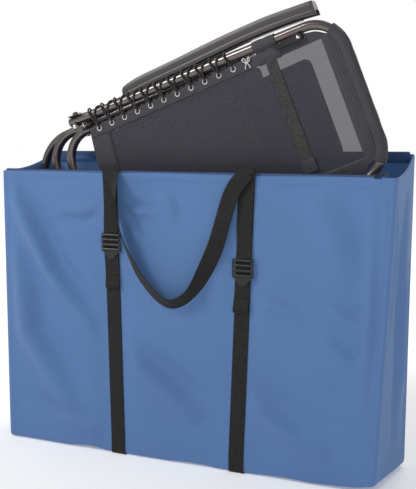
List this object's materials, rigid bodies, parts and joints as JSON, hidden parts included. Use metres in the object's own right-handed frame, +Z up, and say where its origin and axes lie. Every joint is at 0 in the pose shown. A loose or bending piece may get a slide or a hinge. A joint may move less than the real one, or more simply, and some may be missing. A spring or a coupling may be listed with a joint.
{
  "type": "carry bag with folded lounge chair",
  "caption": "Long zippered fabric carry bag with webbing handles, standing open around a folded reclining lounge chair with laced mesh slings.",
  "frame": {"origin": "centre of the footprint, on the floor under the bag", "axes": "+X along the bag, with the chair head end at +X; +Y through it, away from the front handle; +Z up"},
  "size_m": [0.96, 0.2878, 1.0598],
  "materials": {
    "bag_cloth": "coated polyester canvas, matt",
    "zip_tape": "woven zip tape",
    "black_plastic": "moulded, satin",
    "webbing": "woven polyester webbing",
    "tube": "dark bronze hammered enamel",
    "steel": "bright plated",
    "sling": "woven mesh textile",
    "pillow": "padded textile",
    "lace": "braided elastic cord",
    "elastic": "woven elastic band",
    "arm_plastic": "moulded, fine texture"
  },
  "bodies": {
    "bag": {"front_panel": "bag_cloth", "back_panel": "bag_cloth", "bottom_panel": "bag_cloth", "left_gusset": "bag_cloth", "right_gusset": "bag_cloth", "zip_tape_front": "zip_tape", "zip_tape_back": "zip_tape", "left_webbing": "webbing", "right_webbing": "webbing", "left_front_strap": "webbing", "left_back_strap": "webbing", "right_front_strap": "webbing", "right_back_strap": "webbing"},
    "zip_slider": {"zip_slider": "black_plastic"},
    "zip_pull": {"zip_pull": "black_plastic"},
    "handle_front": {"handle_front": "webbing"},
    "handle_back": {"handle_back": "webbing"},
    "seat": {"seat_frame": "tube", "seat_sling": "sling", "seat_lace_upper": "lace", "seat_lace_lower": "lace", "hip_plate_upper": "tube", "hip_plate_lower": "tube", "hip_bolt_back_upper": "black_plastic", "hip_bolt_back_lower": "black_plastic", "hip_bolt_rear_upper": "steel", "hip_bolt_rear_lower": "steel", "hip_bolt_arm_upper": "steel", "hip_bolt_arm_lower": "steel", "hip_bolt_front_upper": "steel", "hip_bolt_front_lower": "steel", "hip_bolt_seat_upper": "steel", "hip_bolt_seat_lower": "steel"},
    "back": {"back_frame": "tube", "back_sling": "sling", "back_lace_upper": "lace", "back_lace_lower": "lace", "pillow_band": "elastic", "lever_rivet_upper": "steel", "lever_rivet_lower": "steel"},
    "rear_leg": {"rear_leg_frame": "tube", "rear_foot_upper": "black_plastic", "rear_foot_lower": "black_plastic"},
    "front_leg": {"front_leg_frame": "tube", "front_foot_upper": "black_plastic", "front_foot_lower": "black_plastic"},
    "arms": {"armrest_upper": "arm_plastic", "armrest_lower": "arm_plastic", "arm_rail_upper": "tube", "arm_rail_lower": "tube", "arm_stop_upper": "black_plastic", "arm_stop_lower": "black_plastic"},
    "lever_upper": {"lock_lever_upper": "black_plastic"},
    "lever_lower": {"lock_lever_lower": "black_plastic"},
    "pillow": {"headrest_pillow": "pillow"},
    "left_front_buckle": {"left_front_buckle": "black_plastic"},
    "left_back_buckle": {"left_back_buckle": "black_plastic"},
    "right_front_buckle": {"right_front_buckle": "black_plastic"},
    "right_back_buckle": {"right_back_buckle": "black_plastic"}
  },
  "joints": [
    {"name": "chair_lift", "type": "slide", "parent": "bag", "child": "seat", "axis": [0, 0, 1], "range_m": [-0.33, 0.45]},
    {"name": "back_fold", "type": "hinge", "parent": "seat", "child": "back", "pos_m": [-0.30158, -0.0405, 0.785], "axis": [0.3746, 0, -0.9272], "range_deg": [0, 3.5]},
    {"name": "rear_leg_fold", "type": "hinge", "parent": "seat", "child": "rear_leg", "pos_m": [-0.30158, -0.0135, 0.785], "axis": [0.3746, 0, -0.9272], "range_deg": [0, 2.35]},
    {"name": "arms_fold", "type": "hinge", "parent": "seat", "child": "arms", "pos_m": [-0.30158, 0, 0.785], "axis": [0.3746, 0, -0.9272], "range_deg": [0, 1.76]},
    {"name": "front_leg_fold", "type": "hinge", "parent": "seat", "child": "front_leg", "pos_m": [-0.30158, 0.0135, 0.785], "axis": [0.3746, 0, -0.9272], "range_deg": [0, 1.18]},
    {"name": "lock_lever_upper_turn", "type": "hinge", "parent": "back", "child": "lever_upper", "pos_m": [0.25948, -0.051, 0.97932], "axis": [0, -1, 0], "range_deg": [0, 60]},
    {"name": "lock_lever_lower_turn", "type": "hinge", "parent": "back", "child": "lever_lower", "pos_m": [0.38085, -0.051, 0.67892], "axis": [0, 1, 0], "range_deg": [0, 60]},
    {"name": "pillow_slide", "type": "slide", "parent": "back", "child": "pillow", "axis": [0.9272, 0, 0.3746], "range_m": [-0.03, 0.03]},
    {"name": "handle_front_swing", "type": "hinge", "parent": "bag", "child": "handle_front", "pos_m": [0, -0.1095, 0.697], "axis": [-1, 0, 0], "range_deg": [0, 170]},
    {"name": "handle_back_swing", "type": "hinge", "parent": "bag", "child": "handle_back", "pos_m": [0, 0.1095, 0.733], "axis": [1, 0, 0], "range_deg": [0, 170]},
    {"name": "left_front_buckle_slide", "type": "slide", "parent": "bag", "child": "left_front_buckle", "axis": [-0.0214, 0, 0.9998], "range_m": [-0.025, 0.006]},
    {"name": "left_back_buckle_slide", "type": "slide", "parent": "bag", "child": "left_back_buckle", "axis": [-0.0214, 0, 0.9998], "range_m": [-0.025, 0.006]},
    {"name": "right_front_buckle_slide", "type": "slide", "parent": "bag", "child": "right_front_buckle", "axis": [0.0382, 0, 0.9993], "range_m": [-0.025, 0.025]},
    {"name": "right_back_buckle_slide", "type": "slide", "parent": "bag", "child": "right_back_buckle", "axis": [0.0382, 0, 0.9993], "range_m": [-0.025, 0.025]},
    {"name": "zip_slide", "type": "slide", "parent": "bag", "child": "zip_slider", "axis": [1, 0, 0], "range_m": [-0.9, 0]},
    {"name": "zip_pull_swing", "type": "hinge", "parent": "zip_slider", "child": "zip_pull", "pos_m": [0.456, -0.1035, 0.6931], "axis": [0, -1, 0], "range_deg": [0, 170]}
  ],
  "couplings": [
    {"joint": "rear_leg_fold", "follows": "back_fold", "ratio": 0.667},
    {"joint": "arms_fold", "follows": "back_fold", "ratio": 0.5},
    {"joint": "front_leg_fold", "follows": "back_fold", "ratio": 0.333}
  ]
}
